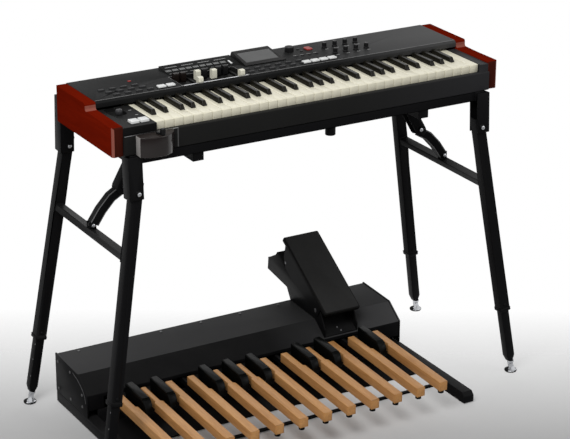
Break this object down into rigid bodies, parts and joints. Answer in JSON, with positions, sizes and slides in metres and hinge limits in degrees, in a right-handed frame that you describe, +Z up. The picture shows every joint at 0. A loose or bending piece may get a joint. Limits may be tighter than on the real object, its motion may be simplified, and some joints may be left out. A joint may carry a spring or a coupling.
{
  "type": "electronic organ",
  "caption": "Drawbar stage organ on a splayed four-legged folding stand, with a wooden pedalboard and an expression pedal.",
  "frame": {"origin": "on the floor under the middle of the whole object", "axes": "+X towards the player's right, +Y away from the player, +Z up"},
  "size_m": [1.1386, 0.6316, 0.835],
  "materials": {
    "wood_red": "red-brown stained and satin lacquered",
    "case_black": "black, satin",
    "case_metal": "black, finely textured paint",
    "panel": "dark grey, matt paint",
    "key_white": "warm white, satin gloss",
    "key_black": "black, satin gloss",
    "ivory": "ivory, semi-gloss",
    "brown": "dark brown, semi-gloss",
    "black_knob": "black, matt",
    "screen": "grey display window, gloss",
    "switch_case": "dark glossy brown-black",
    "tube": "black powder coat",
    "pedal_wood": "golden hardwood, satin lacquer",
    "sharp": "black gloss lacquer",
    "tread": "black ribbed rubber on a plate"
  },
  "bodies": {
    "console": {"left_cheek": "wood_red", "right_cheek": "wood_red", "chassis": "case_black", "front_rail": "case_black", "top_panel": "panel", "left_key_block": "case_black", "drawbar_well": "case_black", "display_housing": "case_black", "display_screen": "screen", "speed_switch_case": "switch_case", "stand_frame": "tube", "left_leg_frame": "tube", "right_leg_frame": "tube", "left_stay": "tube", "right_stay": "tube"},
    "pedalboard": {"pedal_housing": "case_metal", "pedal_frame": "case_black", "expression_bracket": "case_metal"},
    "expression_tread": {"expression_tread": "tread"},
    "natural_pedals_1": {"natural_pedals_1": "pedal_wood"},
    "natural_pedals_2": {"natural_pedals_2": "pedal_wood"},
    "sharp_pedals": {"sharp_pedals": "sharp"},
    "keys_c": {"keys_c": "key_white"},
    "keys_c_sharp": {"keys_c_sharp": "key_black"},
    "keys_d": {"keys_d": "key_white"},
    "keys_d_sharp": {"keys_d_sharp": "key_black"},
    "keys_e": {"keys_e": "key_white"},
    "keys_f": {"keys_f": "key_white"},
    "keys_f_sharp": {"keys_f_sharp": "key_black"},
    "keys_g": {"keys_g": "key_white"},
    "keys_g_sharp": {"keys_g_sharp": "key_black"},
    "keys_a": {"keys_a": "key_white"},
    "keys_a_sharp": {"keys_a_sharp": "key_black"},
    "keys_b": {"keys_b": "key_white"},
    "speed_lever": {"speed_lever": "black_knob"},
    "bender_lever": {"bender_lever": "black_knob"},
    "value_dial": {"value_dial": "black_knob"},
    "drawbar_1": {"drawbar_1": "brown"},
    "drawbar_2": {"drawbar_2": "brown"},
    "drawbar_3": {"drawbar_3": "ivory"},
    "drawbar_4": {"drawbar_4": "ivory"},
    "drawbar_5": {"drawbar_5": "black_knob"},
    "drawbar_6": {"drawbar_6": "ivory"},
    "drawbar_7": {"drawbar_7": "black_knob"},
    "drawbar_8": {"drawbar_8": "black_knob"},
    "drawbar_9": {"drawbar_9": "ivory"},
    "inner_leg_front_left": {"inner_leg_front_left": "tube"},
    "inner_leg_front_right": {"inner_leg_front_right": "tube"},
    "inner_leg_rear_left": {"inner_leg_rear_left": "tube"},
    "inner_leg_rear_right": {"inner_leg_rear_right": "tube"},
    "knob_1": {"knob_1": "black_knob"},
    "knob_2": {"knob_2": "black_knob"},
    "knob_3": {"knob_3": "black_knob"},
    "knob_4": {"knob_4": "black_knob"},
    "knob_5": {"knob_5": "black_knob"},
    "knob_6": {"knob_6": "black_knob"},
    "knob_7": {"knob_7": "black_knob"},
    "knob_8": {"knob_8": "black_knob"},
    "left_buttons": {"left_buttons": "case_black"},
    "middle_buttons": {"middle_buttons": "case_black"}
  },
  "joints": [
    {"name": "pedalboard_slide", "type": "slide", "parent": "console", "child": "pedalboard", "axis": [0, -1, 0], "range_m": [0, 0.62]},
    {"name": "expression_hinge", "type": "hinge", "parent": "pedalboard", "child": "expression_tread", "pos_m": [0.199, 0.07225, 0.148], "axis": [1, 0, 0], "range_deg": [-9, 12]},
    {"name": "natural_pedals_1_hinge", "type": "hinge", "parent": "pedalboard", "child": "natural_pedals_1", "pos_m": [-0.0614, 0.16925, 0.05871], "axis": [1, 0, 0], "range_deg": [0, 1.5], "stiffness_Nm_per_rad": 40, "springref_deg": -8.59},
    {"name": "natural_pedals_2_hinge", "type": "hinge", "parent": "pedalboard", "child": "natural_pedals_2", "pos_m": [-0.0614, 0.16925, 0.05871], "axis": [1, 0, 0], "range_deg": [0, 1.5], "stiffness_Nm_per_rad": 40, "springref_deg": -8.59},
    {"name": "sharp_pedals_hinge", "type": "hinge", "parent": "pedalboard", "child": "sharp_pedals", "pos_m": [-0.0614, 0.16925, 0.05871], "axis": [1, 0, 0], "range_deg": [0, 1.5], "stiffness_Nm_per_rad": 40, "springref_deg": -8.59},
    {"name": "key_c_hinge", "type": "hinge", "parent": "console", "child": "keys_c", "pos_m": [0.029, 0.07025, 0.7822], "axis": [1, 0, 0], "range_deg": [0, 2.6], "stiffness_Nm_per_rad": 8, "springref_deg": -8.59},
    {"name": "key_c_sharp_hinge", "type": "hinge", "parent": "console", "child": "keys_c_sharp", "pos_m": [0.029, 0.07025, 0.7822], "axis": [1, 0, 0], "range_deg": [0, 2.6], "stiffness_Nm_per_rad": 4, "springref_deg": -8.59},
    {"name": "key_d_hinge", "type": "hinge", "parent": "console", "child": "keys_d", "pos_m": [0.029, 0.07025, 0.7822], "axis": [1, 0, 0], "range_deg": [0, 2.6], "stiffness_Nm_per_rad": 8, "springref_deg": -8.59},
    {"name": "key_d_sharp_hinge", "type": "hinge", "parent": "console", "child": "keys_d_sharp", "pos_m": [0.029, 0.07025, 0.7822], "axis": [1, 0, 0], "range_deg": [0, 2.6], "stiffness_Nm_per_rad": 4, "springref_deg": -8.59},
    {"name": "key_e_hinge", "type": "hinge", "parent": "console", "child": "keys_e", "pos_m": [0.029, 0.07025, 0.7822], "axis": [1, 0, 0], "range_deg": [0, 2.6], "stiffness_Nm_per_rad": 8, "springref_deg": -8.59},
    {"name": "key_f_hinge", "type": "hinge", "parent": "console", "child": "keys_f", "pos_m": [0.029, 0.07025, 0.7822], "axis": [1, 0, 0], "range_deg": [0, 2.6], "stiffness_Nm_per_rad": 8, "springref_deg": -8.59},
    {"name": "key_f_sharp_hinge", "type": "hinge", "parent": "console", "child": "keys_f_sharp", "pos_m": [0.029, 0.07025, 0.7822], "axis": [1, 0, 0], "range_deg": [0, 2.6], "stiffness_Nm_per_rad": 4, "springref_deg": -8.59},
    {"name": "key_g_hinge", "type": "hinge", "parent": "console", "child": "keys_g", "pos_m": [0.029, 0.07025, 0.7822], "axis": [1, 0, 0], "range_deg": [0, 2.6], "stiffness_Nm_per_rad": 8, "springref_deg": -8.59},
    {"name": "key_g_sharp_hinge", "type": "hinge", "parent": "console", "child": "keys_g_sharp", "pos_m": [0.029, 0.07025, 0.7822], "axis": [1, 0, 0], "range_deg": [0, 2.6], "stiffness_Nm_per_rad": 4, "springref_deg": -8.59},
    {"name": "key_a_hinge", "type": "hinge", "parent": "console", "child": "keys_a", "pos_m": [0.029, 0.07025, 0.7822], "axis": [1, 0, 0], "range_deg": [0, 2.6], "stiffness_Nm_per_rad": 8, "springref_deg": -8.59},
    {"name": "key_a_sharp_hinge", "type": "hinge", "parent": "console", "child": "keys_a_sharp", "pos_m": [0.029, 0.07025, 0.7822], "axis": [1, 0, 0], "range_deg": [0, 2.6], "stiffness_Nm_per_rad": 4, "springref_deg": -8.59},
    {"name": "key_b_hinge", "type": "hinge", "parent": "console", "child": "keys_b", "pos_m": [0.029, 0.07025, 0.7822], "axis": [1, 0, 0], "range_deg": [0, 2.6], "stiffness_Nm_per_rad": 8, "springref_deg": -8.59},
    {"name": "speed_lever_hinge", "type": "hinge", "parent": "console", "child": "speed_lever", "pos_m": [-0.397, -0.18075, 0.783], "axis": [0, 0, 1], "range_deg": [-30, 30]},
    {"name": "bender_hinge", "type": "hinge", "parent": "console", "child": "bender_lever", "pos_m": [-0.44, -0.06875, 0.7949], "axis": [0, 1, 0], "range_deg": [-15, 15], "stiffness_Nm_per_rad": 0.15},
    {"name": "value_dial_spin", "type": "hinge", "parent": "console", "child": "value_dial", "pos_m": [0.082, 0.09325, 0.826], "axis": [0, 0, 1], "continuous": true},
    {"name": "drawbar_1_slide", "type": "slide", "parent": "console", "child": "drawbar_1", "axis": [0, -1, 0], "range_m": [-0.0026, 0.0494]},
    {"name": "drawbar_2_slide", "type": "slide", "parent": "console", "child": "drawbar_2", "axis": [0, -1, 0], "range_m": [-0.0026, 0.0494]},
    {"name": "drawbar_3_slide", "type": "slide", "parent": "console", "child": "drawbar_3", "axis": [0, -1, 0], "range_m": [-0.052, 0]},
    {"name": "drawbar_4_slide", "type": "slide", "parent": "console", "child": "drawbar_4", "axis": [0, -1, 0], "range_m": [-0.0052, 0.0468]},
    {"name": "drawbar_5_slide", "type": "slide", "parent": "console", "child": "drawbar_5", "axis": [0, -1, 0], "range_m": [-0.0026, 0.0494]},
    {"name": "drawbar_6_slide", "type": "slide", "parent": "console", "child": "drawbar_6", "axis": [0, -1, 0], "range_m": [-0.0156, 0.0364]},
    {"name": "drawbar_7_slide", "type": "slide", "parent": "console", "child": "drawbar_7", "axis": [0, -1, 0], "range_m": [-0.0026, 0.0494]},
    {"name": "drawbar_8_slide", "type": "slide", "parent": "console", "child": "drawbar_8", "axis": [0, -1, 0], "range_m": [-0.0026, 0.0494]},
    {"name": "drawbar_9_slide", "type": "slide", "parent": "console", "child": "drawbar_9", "axis": [0, -1, 0], "range_m": [-0.0494, 0.0026]},
    {"name": "leg_front_left_slide", "type": "slide", "parent": "console", "child": "inner_leg_front_left", "axis": [-0.158, -0.0534, -0.986], "range_m": [0, 0.08]},
    {"name": "leg_front_right_slide", "type": "slide", "parent": "console", "child": "inner_leg_front_right", "axis": [0.158, -0.0534, -0.986], "range_m": [0, 0.08]},
    {"name": "leg_rear_left_slide", "type": "slide", "parent": "console", "child": "inner_leg_rear_left", "axis": [-0.158, 0.0534, -0.986], "range_m": [0, 0.08]},
    {"name": "leg_rear_right_slide", "type": "slide", "parent": "console", "child": "inner_leg_rear_right", "axis": [0.158, 0.0534, -0.986], "range_m": [0, 0.08]},
    {"name": "knob_1_turn", "type": "hinge", "parent": "console", "child": "knob_1", "pos_m": [0.169, 0.07825, 0.826], "axis": [0, 0, 1], "range_deg": [-135, 135]},
    {"name": "knob_2_turn", "type": "hinge", "parent": "console", "child": "knob_2", "pos_m": [0.1975, 0.07825, 0.826], "axis": [0, 0, 1], "range_deg": [-135, 135]},
    {"name": "knob_3_turn", "type": "hinge", "parent": "console", "child": "knob_3", "pos_m": [0.226, 0.07825, 0.826], "axis": [0, 0, 1], "range_deg": [-135, 135]},
    {"name": "knob_4_turn", "type": "hinge", "parent": "console", "child": "knob_4", "pos_m": [0.2545, 0.07825, 0.826], "axis": [0, 0, 1], "range_deg": [-135, 135]},
    {"name": "knob_5_turn", "type": "hinge", "parent": "console", "child": "knob_5", "pos_m": [0.169, 0.02825, 0.826], "axis": [0, 0, 1], "range_deg": [-135, 135]},
    {"name": "knob_6_turn", "type": "hinge", "parent": "console", "child": "knob_6", "pos_m": [0.1975, 0.02825, 0.826], "axis": [0, 0, 1], "range_deg": [-135, 135]},
    {"name": "knob_7_turn", "type": "hinge", "parent": "console", "child": "knob_7", "pos_m": [0.226, 0.02825, 0.826], "axis": [0, 0, 1], "range_deg": [-135, 135]},
    {"name": "knob_8_turn", "type": "hinge", "parent": "console", "child": "knob_8", "pos_m": [0.2545, 0.02825, 0.826], "axis": [0, 0, 1], "range_deg": [-135, 135]},
    {"name": "left_buttons_press", "type": "slide", "parent": "console", "child": "left_buttons", "axis": [0, 0, -1], "range_m": [0, 0.0013], "stiffness_N_per_m": 700, "springref_m": -0.002},
    {"name": "middle_buttons_press", "type": "slide", "parent": "console", "child": "middle_buttons", "axis": [0, 0, -1], "range_m": [0, 0.0013], "stiffness_N_per_m": 700, "springref_m": -0.002}
  ]
}
